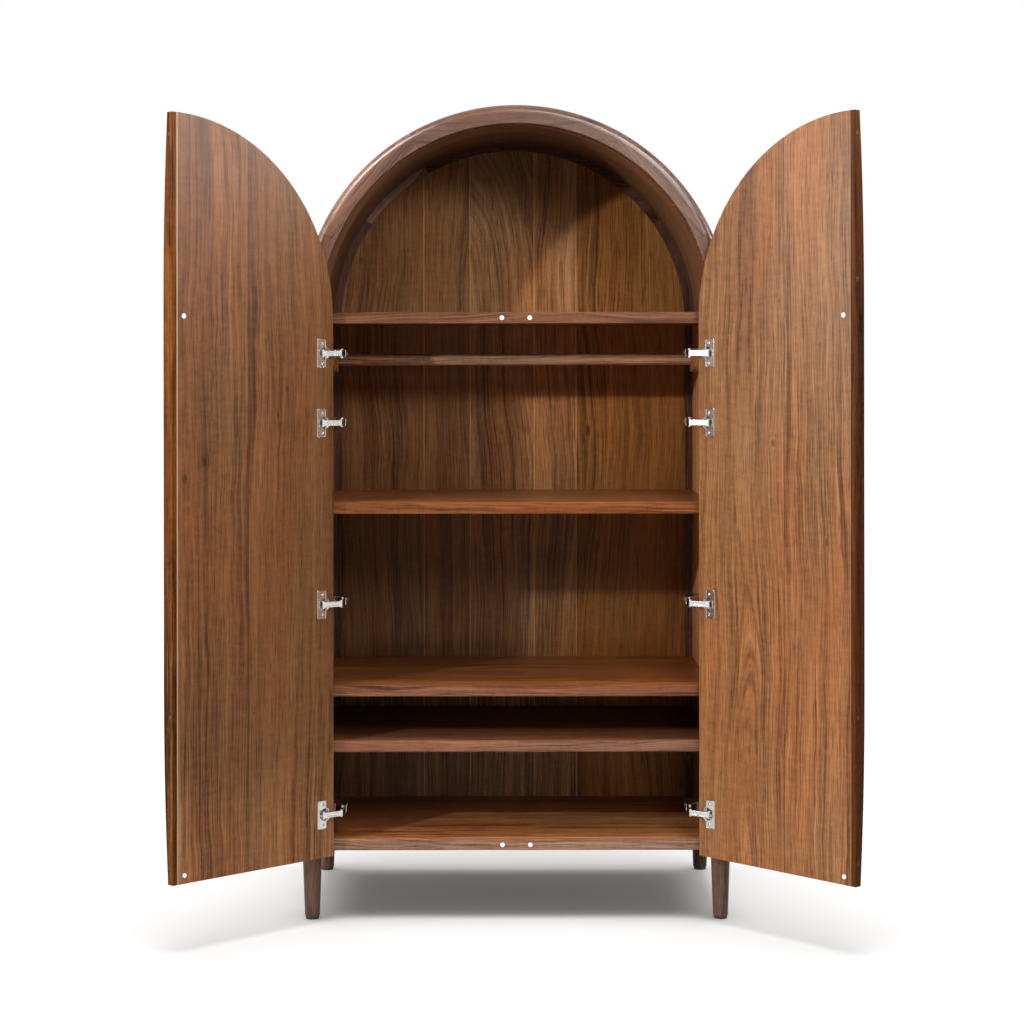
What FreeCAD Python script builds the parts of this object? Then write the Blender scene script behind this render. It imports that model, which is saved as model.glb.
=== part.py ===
import FreeCAD, Part
import math
import os

from FreeCAD import Vector

os.makedirs("parts", exist_ok=True)

# Carcass, all lengths in millimetres
overall_width = 1130.0
overall_depth = 655.0
arch_centre_height = 1577.0
carcass_bottom = 176.0
wall_thickness = 50.0
skin_thickness = 12.0
lining_thickness = 10.0
rear_core_depth = 40.0
batten_height = 50.0
cut_overrun = 5.0

# Front rim
rim_depth = 45.0
rim_nose_radius = 22.0
rim_eased_radius = 3.0
rim_upper_joint_angle = 29.5
rim_lower_joint_angle = 66.0

# Rear cleat ring and back panel
cleat_width = 20.0
cleat_depth = 18.0
cleat_upper_joint_angle = 29.6
cleat_lower_joint_angle = 55.0
back_panel_inset = 39.0
back_panel_thickness = 9.0
quarter_turn = 90.0

# Boards: heights are of the undersides above the floor, the drop is below the arch centre
board_thickness = 29.0
board_setback = 2.3
board_eased_radius = 1.5
board_play = 1.0
bottom_panel_height = 182.0
lower_shelf_height = 441.0
middle_shelf_height = 587.0
upper_shelf_height = 1067.0
top_shelf_drop = 9.0
shelf_pin_radius = 2.5
shelf_pin_length = 18.0
shelf_pin_depth_in_wall = 8.0
shelf_pin_front_inset = 60.0
shelf_pin_rear_inset = 70.0

# Hanging rod
rod_radius = 16.0
rod_drop = 96.0
rod_socket_radius = 35.0
rod_socket_thickness = 30.0
rod_socket_bore_depth = 20.0
rod_socket_eased_radius = 4.0

# Legs
leg_centre_inset = 27.0
leg_front_inset = 40.0
leg_rear_inset = 30.0
leg_top_radius = 25.7
leg_foot_radius = 19.8
leg_foot_eased_radius = 4.0
glide_radius = 17.5
glide_thickness = 6.0
glide_eased_radius = 1.2
leg_bolt_radius = 4.0
leg_bolt_reach = 30.0

# Doors
door_thickness = 20.0
door_gap = 5.2
meeting_gap = 3.0
door_eased_radius = 1.2
pull_lipping_width = 13.0
pull_width = 46.0
pull_rise = 17.0
pull_taper_length = 470.0
bow_quarter_share = 0.75
plug_radius = 5.0
plug_depth = 8.0
plug_face_inset = 5.0
plug_end_inset_outer = 55.0
plug_end_inset_inner = 415.0
left_door_open_angle = 137.5
right_door_open_angle = 133.5

# Door catches
catch_radius = 6.0
catch_depth = 4.0
catch_proud = 1.0
catch_plate_depth = 2.0
catch_offset = 36.7

# Hinges: each cup centre stands at a share of the height between two boards
hinge_share_low = 0.335
hinge_share_middle = 0.486
hinge_share_high = 0.449
hinge_share_top = 0.833
pole_inset = 8.8
pole_behind = 24.0
cup_pin_inset = 38.0
cup_pin_height = 7.0
arm_pin_inset = 58.0
arm_pin_behind = 8.0
pin_radius = 2.0
pin_running_clearance = 0.1
pin_head_radius = 3.2
pin_head_thickness = 0.8
outer_link_half_height = 7.0
outer_link_radius = 4.0
outer_link_groove_length = 34.0
outer_link_groove_half_height = 3.5
outer_link_groove_depth = 1.0
inner_link_radius = 4.5
link_plate_thickness = 2.0
link_side_clearance = 0.3
arm_side_clearance = 0.4
arm_neck_inset = 49.0
arm_neck_behind = 30.0
arm_tail_inset = 22.0
arm_tail_behind = 52.0
arm_rear_behind = 100.0
arm_front_behind = 20.0
arm_web_inset = 66.0
arm_web_front = 34.0
arm_slot_front = 62.0
arm_slot_rear = 84.0
arm_slot_half_height = 3.0
plate_base_thickness = 2.5
plate_front = 44.0
plate_rear = 104.0
plate_block_front = 50.0
plate_block_top = 36.0
plate_screw_behind = 57.0
plate_wing_half_width = 8.0
plate_wing_half_height = 24.0
plate_screw_offset = 16.0
cup_centre_inset = 30.0
cup_radius = 17.5
cup_depth = 11.5
cup_wall = 1.5
cup_rim_radius = 18.5
flange_near_inset = 25.0
flange_far_inset = 54.0
flange_half_height = 37.0
flange_thickness = 1.2
flange_corner_radius = 4.0
lug_half_width = 4.0
lug_top_height = 11.0
cup_screw_inset = 35.5
cup_screw_offset = 26.0

# Screws
screw_shank_radius = 1.8
screw_head_radius = 3.8
screw_head_height = 2.0
hinge_screw_length = 16.0
back_screw_length = 24.0
back_screw_row_inset = 10.0

# Derived sizes
outer_radius = overall_width / 2
inner_radius = outer_radius - wall_thickness
lining_outer_radius = inner_radius + lining_thickness
skin_inner_radius = outer_radius - skin_thickness
door_radius = inner_radius - door_gap
board_front = door_thickness + board_setback
back_panel_front = overall_depth - back_panel_inset
bottom_panel_top = bottom_panel_height + board_thickness
top_shelf_height = arch_centre_height - top_shelf_drop
rod_height = top_shelf_height - rod_drop
leg_x = outer_radius - leg_centre_inset
leg_rear_y = overall_depth - leg_rear_inset
link_inner_side = outer_link_half_height + link_side_clearance
link_outer_side = link_inner_side + link_plate_thickness
arm_inner_side = link_outer_side + arm_side_clearance
arm_outer_side = arm_inner_side + link_plate_thickness
axis_y = Vector(0, 1, 0)
axis_z = Vector(0, 0, 1)
arch_centre = Vector(0, 0, arch_centre_height)
origin_shift = Vector(0, -overall_depth / 2, 0)


def between_boards(lower_face, upper_face, share):
    return lower_face + share * (upper_face - lower_face)


hinge_heights = (
    between_boards(bottom_panel_top, lower_shelf_height, hinge_share_low),
    between_boards(middle_shelf_height + board_thickness, upper_shelf_height, hinge_share_middle),
    between_boards(upper_shelf_height + board_thickness, top_shelf_height, hinge_share_high),
    between_boards(upper_shelf_height + board_thickness, top_shelf_height, hinge_share_top),
)


def box(x0, x1, y0, y1, z0, z1):
    return Part.makeBox(x1 - x0, y1 - y0, z1 - z0, Vector(x0, y0, z0))


def rod_between(radius, start, end):
    return Part.makeCylinder(radius, (end - start).Length, start, end - start)


def mirrored(shape):
    return shape.mirror(Vector(0, 0, 0), Vector(1, 0, 0))


def fused(shapes):
    return shapes[0].fuse(shapes[1:]).removeSplitter()


def save(name, *shapes):
    solids = []
    for shape in shapes:
        solids.extend(shape.Solids)
    result = solids[0] if len(solids) == 1 else Part.makeCompound(solids)
    result = result.copy()
    result.translate(origin_shift)
    result.exportStep("parts/" + name + ".step")


def arch_prism(radius, y0, y1, z0):
    # Round-topped slab seen from the front, its lower edge at z0
    left_low = Vector(-radius, y0, z0)
    right_low = Vector(radius, y0, z0)
    left_spring = Vector(-radius, y0, arch_centre_height)
    right_spring = Vector(radius, y0, arch_centre_height)
    crown = Vector(0, y0, arch_centre_height + radius)
    edges = [
        Part.makeLine(left_low, right_low),
        Part.makeLine(right_low, right_spring),
        Part.Arc(right_spring, crown, left_spring).toShape(),
        Part.makeLine(left_spring, left_low),
    ]
    face = Part.Face(Part.Wire(edges))
    return face.extrude(Vector(0, y1 - y0, 0))


def plain_section(r0, r1, y0, y1):
    # Rectangular wall section above the arch centre
    z0 = arch_centre_height + r0
    z1 = arch_centre_height + r1
    points = [Vector(0, y0, z0), Vector(0, y1, z0), Vector(0, y1, z1), Vector(0, y0, z1)]
    return Part.Face(Part.makePolygon(points + [points[0]]))


def rim_section():
    # Wall section of the front rim: large nose outside, small easing inside
    z0 = arch_centre_height + inner_radius
    z1 = arch_centre_height + outer_radius
    ease = rim_eased_radius
    nose = rim_nose_radius
    bend = math.sqrt(0.5)
    ease_mid = Vector(0, ease - ease * bend, z0 + ease - ease * bend)
    nose_mid = Vector(0, nose - nose * bend, z1 - nose + nose * bend)
    edges = [
        Part.makeLine(Vector(0, rim_depth, z0), Vector(0, ease, z0)),
        Part.Arc(Vector(0, ease, z0), ease_mid, Vector(0, 0, z0 + ease)).toShape(),
        Part.makeLine(Vector(0, 0, z0 + ease), Vector(0, 0, z1 - nose)),
        Part.Arc(Vector(0, 0, z1 - nose), nose_mid, Vector(0, nose, z1)).toShape(),
        Part.makeLine(Vector(0, nose, z1), Vector(0, rim_depth, z1)),
        Part.makeLine(Vector(0, rim_depth, z1), Vector(0, rim_depth, z0)),
    ]
    return Part.Face(Part.Wire(edges))


def arc_piece(section, start_angle, end_angle):
    # Sweep a wall section round the arch; angles run from the crown to the right
    face = section.copy()
    face.rotate(arch_centre, axis_y, start_angle)
    return face.revolve(arch_centre, axis_y, end_angle - start_angle)


def straight_piece(section, z0):
    face = section.copy()
    face.rotate(arch_centre, axis_y, quarter_turn)
    return face.extrude(Vector(0, 0, z0 - arch_centre_height))


def screw(length):
    # Countersunk screw along +X with its head face at the origin
    head = Part.makeCone(screw_head_radius, screw_shank_radius, screw_head_height,
                         Vector(0, 0, 0), Vector(1, 0, 0))
    shank = Part.makeCylinder(screw_shank_radius, length - screw_head_height,
                              Vector(screw_head_height, 0, 0), Vector(1, 0, 0))
    return fused([head, shank])


def turned(shape, axis, angle, at):
    result = shape.copy()
    result.rotate(Vector(0, 0, 0), axis, angle)
    result.translate(at)
    return result


def eased_front(shape, y0, radius):
    # Round the two long edges along the front of a board
    chosen = []
    for edge in shape.Edges:
        ends = [vertex.Point for vertex in edge.Vertexes]
        at_front = all(abs(point.y - y0) < board_play / 2 for point in ends)
        along_x = len(ends) == 2 and abs(ends[0].x - ends[1].x) > inner_radius
        if at_front and along_x:
            chosen.append(edge)
    return shape.makeFillet(radius, chosen)


# Front rim: crown, shoulders, haunches down to the arch centre, straight posts
rim = rim_section()
rim_top = arc_piece(rim, -rim_upper_joint_angle, rim_upper_joint_angle)
rim_shoulder = arc_piece(rim, rim_upper_joint_angle, rim_lower_joint_angle)
rim_haunch = arc_piece(rim, rim_lower_joint_angle, quarter_turn)
rim_post = straight_piece(rim, carcass_bottom)

# Bent skin and lining of the arch, straight skins and linings of the sides
skin_section = plain_section(skin_inner_radius, outer_radius, rim_depth, overall_depth)
lining_section = plain_section(inner_radius, lining_outer_radius, rim_depth, overall_depth)
arch_skin = arc_piece(skin_section, -quarter_turn, quarter_turn)
arch_lining = arc_piece(lining_section, -quarter_turn, quarter_turn)
side_skin = straight_piece(skin_section, carcass_bottom)
side_lining = straight_piece(lining_section, carcass_bottom)

# Core between skin and lining: a ring at the rear edge, a base rail and rails at the hinges
core_front = overall_depth - rear_core_depth
core_section = plain_section(lining_outer_radius, skin_inner_radius, core_front, overall_depth)
core_arch = arc_piece(core_section, -quarter_turn, quarter_turn)
core_upright = straight_piece(core_section, carcass_bottom)
battens = []
for height in (carcass_bottom + batten_height / 2,) + hinge_heights:
    battens.append(box(lining_outer_radius, skin_inner_radius, rim_depth, core_front,
                       height - batten_height / 2, height + batten_height / 2))

# Cleat ring in front of the back panel, standing on the bottom panel
cleat_front = back_panel_front - cleat_depth
cleat_inner_radius = inner_radius - cleat_width
cleat_section = plain_section(cleat_inner_radius, inner_radius, cleat_front, back_panel_front)
cleat_top = arc_piece(cleat_section, -cleat_upper_joint_angle, cleat_upper_joint_angle)
cleat_shoulder = arc_piece(cleat_section, cleat_upper_joint_angle, cleat_lower_joint_angle)
cleat_post = fused([arc_piece(cleat_section, cleat_lower_joint_angle, quarter_turn),
                    straight_piece(cleat_section, bottom_panel_top)])
back_panel_rear = back_panel_front + back_panel_thickness
back_panel = arch_prism(inner_radius, back_panel_front, back_panel_rear, bottom_panel_height)

# Fixed boards, trimmed to the inside of the wall and notched round the cleats
inside = arch_prism(inner_radius, 0, back_panel_front, carcass_bottom)


def fixed_board(height):
    slab = box(-outer_radius, outer_radius, board_front, back_panel_front,
               height, height + board_thickness)
    return eased_front(slab.common(inside), board_front, board_eased_radius)


bottom_panel = fixed_board(bottom_panel_height)
top_shelf = fixed_board(top_shelf_height)
top_shelf = top_shelf.cut([cleat_post, mirrored(cleat_post)])

# Loose shelves resting on pins
loose_half_width = inner_radius - board_play
notch_x = cleat_inner_radius - board_play
notch_y = cleat_front - board_play


def loose_board(height):
    slab = box(-loose_half_width, loose_half_width, board_front, back_panel_front - board_play,
               height, height + board_thickness)
    notch = box(notch_x, outer_radius, notch_y, overall_depth,
                height - cut_overrun, height + board_thickness + cut_overrun)
    slab = slab.cut([notch, mirrored(notch)])
    return eased_front(slab, board_front, board_eased_radius)


loose_heights = (lower_shelf_height, middle_shelf_height, upper_shelf_height)
loose_boards = [loose_board(height) for height in loose_heights]
shelf_pins = []
pin_outer_x = inner_radius + shelf_pin_depth_in_wall
for height in loose_heights:
    for pin_y in (board_front + shelf_pin_front_inset, back_panel_front - shelf_pin_rear_inset):
        pin_z = height - shelf_pin_radius
        right_pin = rod_between(shelf_pin_radius,
                                Vector(pin_outer_x - shelf_pin_length, pin_y, pin_z),
                                Vector(pin_outer_x, pin_y, pin_z))
        shelf_pins.append(right_pin)
        shelf_pins.append(mirrored(right_pin))

# Hanging rod and its turned sockets
rod_y = (board_front + back_panel_front) / 2
rod_end = inner_radius - rod_socket_thickness + rod_socket_bore_depth
hanging_rod = rod_between(rod_radius, Vector(-rod_end, rod_y, rod_height),
                          Vector(rod_end, rod_y, rod_height))
socket_face = inner_radius - rod_socket_thickness
rod_socket = rod_between(rod_socket_radius, Vector(socket_face, rod_y, rod_height),
                         Vector(inner_radius, rod_y, rod_height))
socket_edge = [edge for edge in rod_socket.Edges
               if len(edge.Vertexes) == 1 and edge.Vertexes[0].Point.x < inner_radius - board_play]
rod_socket = rod_socket.makeFillet(rod_socket_eased_radius, socket_edge).cut(hanging_rod)

# Legs with hanger bolts and glides
leg_wire = [
    Part.makeLine(Vector(0, 0, glide_thickness),
                  Vector(leg_foot_radius - leg_foot_eased_radius, 0, glide_thickness)),
    Part.Arc(Vector(leg_foot_radius - leg_foot_eased_radius, 0, glide_thickness),
             Vector(leg_foot_radius - leg_foot_eased_radius * (1 - math.sqrt(0.5)), 0,
                    glide_thickness + leg_foot_eased_radius * (1 - math.sqrt(0.5))),
             Vector(leg_foot_radius, 0, glide_thickness + leg_foot_eased_radius)).toShape(),
    Part.makeLine(Vector(leg_foot_radius, 0, glide_thickness + leg_foot_eased_radius),
                  Vector(leg_top_radius, 0, carcass_bottom)),
    Part.makeLine(Vector(leg_top_radius, 0, carcass_bottom), Vector(0, 0, carcass_bottom)),
    Part.makeLine(Vector(0, 0, carcass_bottom), Vector(0, 0, glide_thickness)),
]
leg_blank = Part.Face(Part.Wire(leg_wire)).revolve(Vector(0, 0, 0), axis_z, 4 * quarter_turn)
bolt_blank = rod_between(leg_bolt_radius, Vector(0, 0, carcass_bottom - leg_bolt_reach),
                         Vector(0, 0, carcass_bottom + leg_bolt_reach))
leg_blank = leg_blank.cut(bolt_blank)
glide_blank = rod_between(glide_radius, Vector(0, 0, 0), Vector(0, 0, glide_thickness))
glide_edge = [edge for edge in glide_blank.Edges
              if len(edge.Vertexes) == 1 and edge.Vertexes[0].Point.z < glide_thickness / 2]
glide_blank = glide_blank.makeFillet(glide_eased_radius, glide_edge)
leg_places = {
    "front_left": Vector(-leg_x, leg_front_inset, 0),
    "front_right": Vector(leg_x, leg_front_inset, 0),
    "rear_left": Vector(-leg_x, leg_rear_y, 0),
    "rear_right": Vector(leg_x, leg_rear_y, 0),
}
leg_bolts = [turned(bolt_blank, axis_z, 0, place) for place in leg_places.values()]
glides = [turned(glide_blank, axis_z, 0, place) for place in leg_places.values()]
rim_post_left = mirrored(rim_post).cut(leg_bolts)
rim_post_right = rim_post.cut(leg_bolts)
core_left = mirrored(core_upright).cut(leg_bolts)
core_right = core_upright.cut(leg_bolts)

# Catch magnets in the two fixed boards
catch_heights = (bottom_panel_height + board_thickness / 2, top_shelf_height + board_thickness / 2)
catch_magnets = []
for height in catch_heights:
    for catch_x in (-catch_offset, catch_offset):
        catch_magnets.append(rod_between(catch_radius,
                                         Vector(catch_x, board_front - catch_proud, height),
                                         Vector(catch_x, board_front + catch_depth, height)))
bottom_panel = bottom_panel.cut(catch_magnets)
top_shelf = top_shelf.cut(catch_magnets)

# Screws that hold the back panel to the cleats
back_screw_radius = inner_radius - back_screw_row_inset
back_screws = []
back_screw = turned(screw(back_screw_length), axis_z, -quarter_turn, Vector(0, back_panel_rear, 0))
arch_screw_turn_shares = (0, 0.25, 0.55, 0.85)
upright_screw_height_shares = (0.05, 0.28, 0.5, 0.72, 0.95)
for share in arch_screw_turn_shares:
    for side in (-1, 1):
        if share > 0 or side > 0:
            piece = turned(back_screw, axis_z, 0, Vector(0, 0, arch_centre_height + back_screw_radius))
            piece.rotate(arch_centre, axis_y, side * share * quarter_turn)
            back_screws.append(piece)
for share in upright_screw_height_shares:
    height = bottom_panel_top + share * (arch_centre_height - bottom_panel_top)
    for side in (-1, 1):
        back_screws.append(turned(back_screw, axis_z, 0, Vector(side * back_screw_radius, 0, height)))
back_panel = back_panel.cut(back_screws)
cleat_top = cleat_top.cut(back_screws)
cleat_shoulder_left = mirrored(cleat_shoulder).cut(back_screws)
cleat_shoulder_right = cleat_shoulder.cut(back_screws)
cleat_post_left = mirrored(cleat_post).cut(back_screws)
cleat_post_right = cleat_post.cut(back_screws)

# Left door drawn closed: wall face at wall_x, inner face at door_thickness
wall_x = -inner_radius
door_edge_x = wall_x + door_gap
free_edge_x = -meeting_gap / 2
door_slab = arch_prism(door_radius, 0, door_thickness, carcass_bottom)
door_top = arch_centre_height + math.sqrt(door_radius ** 2 - free_edge_x ** 2)
lipping_x = free_edge_x - pull_lipping_width
panel_zone = box(door_edge_x, lipping_x, 0, door_thickness, carcass_bottom, door_top)
lipping_zone = box(lipping_x, free_edge_x, 0, door_thickness, carcass_bottom, door_top + door_gap)
door_panel = door_slab.common(panel_zone)
lipping = door_slab.common(lipping_zone)


def pull_bow():
    # Seen from the side the pull bows out from both ends of the door
    reach = pull_rise * bow_quarter_share
    low = Vector(free_edge_x, 0, carcass_bottom)
    low_mid = Vector(free_edge_x, -reach, carcass_bottom + pull_taper_length / 2)
    low_full = Vector(free_edge_x, -pull_rise, carcass_bottom + pull_taper_length)
    high_full = Vector(free_edge_x, -pull_rise, door_top - pull_taper_length)
    high_mid = Vector(free_edge_x, -reach, door_top - pull_taper_length / 2)
    high = Vector(free_edge_x, 0, door_top)
    edges = [
        Part.Arc(low, low_mid, low_full).toShape(),
        Part.makeLine(low_full, high_full),
        Part.Arc(high_full, high_mid, high).toShape(),
        Part.makeLine(high, low),
    ]
    return Part.Face(Part.Wire(edges)).extrude(Vector(-pull_width, 0, 0))


def pull_plan():
    # Seen from above its outer side rolls down to the door face
    corner_x = free_edge_x - pull_width
    bend = pull_rise * math.sqrt(0.5)
    base = Vector(corner_x, 0, carcass_bottom)
    roll = Vector(corner_x + pull_rise - bend, -bend, carcass_bottom)
    crest = Vector(corner_x + pull_rise, -pull_rise, carcass_bottom)
    tip = Vector(free_edge_x, -pull_rise, carcass_bottom)
    heel = Vector(free_edge_x, 0, carcass_bottom)
    edges = [
        Part.Arc(base, roll, crest).toShape(),
        Part.makeLine(crest, tip),
        Part.makeLine(tip, heel),
        Part.makeLine(heel, base),
    ]
    return Part.Face(Part.Wire(edges)).extrude(Vector(0, 0, door_top - carcass_bottom))


inside_arc = arch_prism(door_radius, -2 * pull_rise, door_thickness, carcass_bottom)
bow = pull_bow().common(pull_plan()).common(inside_arc)
door_pull = fused([lipping, bow])

# Plugs in the meeting edge of the door
plugs = []
for end_inset in (plug_end_inset_outer, plug_end_inset_inner):
    for plug_z in (carcass_bottom + end_inset, door_top - end_inset):
        plug_y = door_thickness - plug_face_inset - plug_radius
        plugs.append(rod_between(plug_radius, Vector(free_edge_x - plug_depth, plug_y, plug_z),
                                 Vector(free_edge_x, plug_y, plug_z)))
door_pull = door_pull.cut(plugs)

# Catch plates let into the inner face of the door
catch_plates = []
for height in catch_heights:
    catch_plates.append(rod_between(catch_radius,
                                    Vector(-catch_offset, door_thickness - catch_plate_depth, height),
                                    Vector(-catch_offset, door_thickness + catch_proud, height)))
door_panel = door_panel.cut(catch_plates)

# Hinge pivots of the closed left door, in plan
pole = Vector(door_edge_x + pole_inset, door_thickness - pole_behind, 0)
cup_pivot = Vector(door_edge_x + cup_pin_inset, door_thickness + cup_pin_height, 0)
arm_pivot = Vector(wall_x + arm_pin_inset, door_thickness + arm_pin_behind, 0)
knee_pivot = arm_pivot + cup_pivot - pole


def plan_slot(start, end, radius, z0, z1):
    # Flat bar with round ends between two pivots in plan
    along = end - start
    angle = math.degrees(math.atan2(along.y, along.x))
    bar = box(0, along.Length, -radius, radius, z0, z1)
    bar.rotate(Vector(0, 0, 0), axis_z, angle)
    bar.translate(start)
    caps = [Part.makeCylinder(radius, z1 - z0, Vector(p.x, p.y, z0)) for p in (start, end)]
    return fused([bar] + caps)


def upright(radius, pivot, z0, z1):
    return Part.makeCylinder(radius, z1 - z0, Vector(pivot.x, pivot.y, z0))


def headed_pin(pivot, z0, z1, heads):
    pieces = [upright(pin_radius, pivot, z0, z1)]
    if "low" in heads:
        pieces.append(upright(pin_head_radius, pivot, z0 - pin_head_thickness, z0))
    if "high" in heads:
        pieces.append(upright(pin_head_radius, pivot, z1, z1 + pin_head_thickness))
    return pieces[0] if len(pieces) == 1 else fused(pieces)


running_radius = pin_radius + pin_running_clearance

# Outer link: solid boxy bar between the cup pin and the knee pin
outer_link = plan_slot(cup_pivot, knee_pivot, outer_link_radius,
                       -outer_link_half_height, outer_link_half_height)
for pivot in (cup_pivot, knee_pivot):
    outer_link = outer_link.cut(upright(running_radius, pivot, -arm_outer_side, arm_outer_side))
link_run = knee_pivot - cup_pivot
link_angle = math.degrees(math.atan2(link_run.y, link_run.x))
groove_start = (link_run.Length - outer_link_groove_length) / 2
groove = box(groove_start, groove_start + outer_link_groove_length,
             -outer_link_radius - cut_overrun, -outer_link_radius + outer_link_groove_depth,
             -outer_link_groove_half_height, outer_link_groove_half_height)
outer_link = outer_link.cut(turned(groove, axis_z, link_angle, cup_pivot))

# Inner link: a pair of plates either side of the outer link
inner_plate = plan_slot(arm_pivot, knee_pivot, inner_link_radius, link_inner_side, link_outer_side)
inner_plate = inner_plate.cut(upright(running_radius, arm_pivot, 0, arm_outer_side))
inner_plate = inner_plate.cut(upright(pin_radius, knee_pivot, 0, arm_outer_side))
lower_plate = inner_plate.mirror(Vector(0, 0, 0), axis_z)
knee_pin = headed_pin(knee_pivot, -link_outer_side, link_outer_side, ())

# Arm: two cheeks and a web, clipped over the plate block on the wall
cheek_points = [
    Vector(arm_pivot.x - inner_link_radius, arm_pivot.y, 0),
    Vector(wall_x + arm_neck_inset, door_thickness + arm_neck_behind, 0),
    Vector(wall_x + arm_tail_inset, door_thickness + arm_tail_behind, 0),
    Vector(wall_x + arm_tail_inset, door_thickness + arm_rear_behind, 0),
    Vector(wall_x + arm_web_inset, door_thickness + arm_rear_behind, 0),
    Vector(wall_x + arm_web_inset, door_thickness + arm_front_behind, 0),
    Vector(arm_pivot.x + inner_link_radius, arm_pivot.y, 0),
]
cheek_face = Part.Face(Part.makePolygon(cheek_points + [cheek_points[0]]))
cheek_face.translate(Vector(0, 0, arm_inner_side))
cheek = fused([cheek_face.extrude(Vector(0, 0, link_plate_thickness)),
               upright(inner_link_radius, arm_pivot, arm_inner_side, arm_outer_side)])
arm_web = box(wall_x + arm_web_inset - link_plate_thickness, wall_x + arm_web_inset,
              door_thickness + arm_web_front, door_thickness + arm_rear_behind,
              -arm_outer_side, arm_outer_side)
web_slot = box(wall_x, wall_x + arm_web_inset + cut_overrun,
               door_thickness + arm_slot_front, door_thickness + arm_slot_rear,
               -arm_slot_half_height, arm_slot_half_height)
arm = fused([cheek, cheek.mirror(Vector(0, 0, 0), axis_z), arm_web])
arm = arm.cut([upright(pin_radius, arm_pivot, -arm_outer_side, arm_outer_side), web_slot])
arm_pin_high = headed_pin(arm_pivot, link_inner_side, arm_outer_side, ("high",))
arm_pin_low = arm_pin_high.mirror(Vector(0, 0, 0), axis_z)

# Mounting plate on the side lining
plate = fused([
    box(wall_x, wall_x + plate_base_thickness, door_thickness + plate_front,
        door_thickness + plate_rear, -arm_inner_side, arm_inner_side),
    box(wall_x, wall_x + plate_base_thickness,
        door_thickness + plate_screw_behind - plate_wing_half_width,
        door_thickness + plate_screw_behind + plate_wing_half_width,
        -plate_wing_half_height, plate_wing_half_height),
    box(wall_x, wall_x + plate_block_top, door_thickness + plate_block_front,
        door_thickness + arm_rear_behind, -arm_inner_side, arm_inner_side),
])
hinge_screw = screw(hinge_screw_length)
plate_screws = []
for offset in (-plate_screw_offset, plate_screw_offset):
    at = Vector(wall_x + plate_base_thickness, door_thickness + plate_screw_behind, offset)
    plate_screws.append(turned(hinge_screw, axis_z, 2 * quarter_turn, at))
plate = plate.cut(plate_screws)

# Cup with flange, rim and pin lugs on the inner face of the door
face_y = door_thickness
cup_centre = Vector(door_edge_x + cup_centre_inset, 0, 0)


def cup_disc(radius, y0, y1):
    return rod_between(radius, Vector(cup_centre.x, y0, 0), Vector(cup_centre.x, y1, 0))


flange = box(door_edge_x + flange_near_inset, door_edge_x + flange_far_inset,
             face_y, face_y + flange_thickness, -flange_half_height, flange_half_height)
flange_corners = [edge for edge in flange.Edges
                  if abs(edge.Vertexes[0].Point.y - edge.Vertexes[1].Point.y) > flange_thickness / 2]
flange = flange.makeFillet(flange_corner_radius, flange_corners)
cup_shell = fused([flange, cup_disc(cup_rim_radius, face_y, face_y + flange_thickness),
                   cup_disc(cup_radius, face_y - cup_depth, face_y + flange_thickness)])
cup_shell = cup_shell.cut(cup_disc(cup_radius - cup_wall, face_y - cup_depth + cup_wall,
                                   face_y + cut_overrun))
lugs = []
lug_low = face_y - cup_depth + cup_wall / 2
for z0, z1 in ((link_inner_side, link_outer_side), (-link_outer_side, -link_inner_side)):
    lug = box(cup_pivot.x - lug_half_width, cup_pivot.x + lug_half_width,
              lug_low, face_y + cup_pin_height, z0, z1)
    lugs.append(fused([lug, upright(lug_half_width, cup_pivot, z0, z1)]))
cup = fused([cup_shell] + lugs)
cup = cup.cut(upright(pin_radius, cup_pivot, -link_outer_side, link_outer_side))
cup_pin = headed_pin(cup_pivot, -link_outer_side, link_outer_side, ("low", "high"))
cup_screws = []
for offset in (-cup_screw_offset, cup_screw_offset):
    at = Vector(door_edge_x + cup_screw_inset, face_y + flange_thickness, offset)
    cup_screws.append(turned(hinge_screw, axis_z, -quarter_turn, at))
cup = cup.cut(cup_screws)


def at_heights(shapes):
    return [turned(shape, axis_z, 0, Vector(0, 0, height))
            for height in hinge_heights for shape in shapes]


cup_pocket = fused([cup_disc(cup_radius, face_y - cup_depth, face_y)] + cup_screws)
door_panel = door_panel.cut(at_heights([cup_pocket]))

# Poses of the moving pieces with the door standing open


def swing(shapes, pivot, angle):
    result = []
    for shape in shapes:
        piece = shape.copy()
        piece.rotate(Vector(pivot.x, pivot.y, 0), axis_z, -angle)
        result.append(piece)
    return result


def slide_with_knee(shapes, angle):
    # The outer link keeps its direction while the knee swings about the arm pin
    turn = FreeCAD.Rotation(axis_z, -angle)
    shift = turn.multVec(knee_pivot - arm_pivot) - (knee_pivot - arm_pivot)
    return [turned(shape, axis_z, 0, shift) for shape in shapes]


def side_shapes(shapes, side):
    return [mirrored(shape) for shape in shapes] if side == "right" else shapes


door_groups = {
    "door_panel": [door_panel],
    "door_pull": [door_pull],
    "door_plugs": plugs,
    "catch_plates": catch_plates,
    "hinge_cups": at_heights([cup]),
    "cup_screws": at_heights(cup_screws),
    "cup_pins": at_heights([cup_pin]),
}
for side, angle in (("left", left_door_open_angle), ("right", right_door_open_angle)):
    for name, shapes in door_groups.items():
        save(name + "_" + side, *side_shapes(swing(shapes, pole, angle), side))
    inner_plates = swing(at_heights([inner_plate, lower_plate]), arm_pivot, angle)
    knee_pins = swing(at_heights([knee_pin]), arm_pivot, angle)
    outer_links = slide_with_knee(at_heights([outer_link]), angle)
    save("inner_links_" + side, *side_shapes(inner_plates, side))
    save("knee_pins_" + side, *side_shapes(knee_pins, side))
    save("outer_links_" + side, *side_shapes(outer_links, side))

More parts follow.
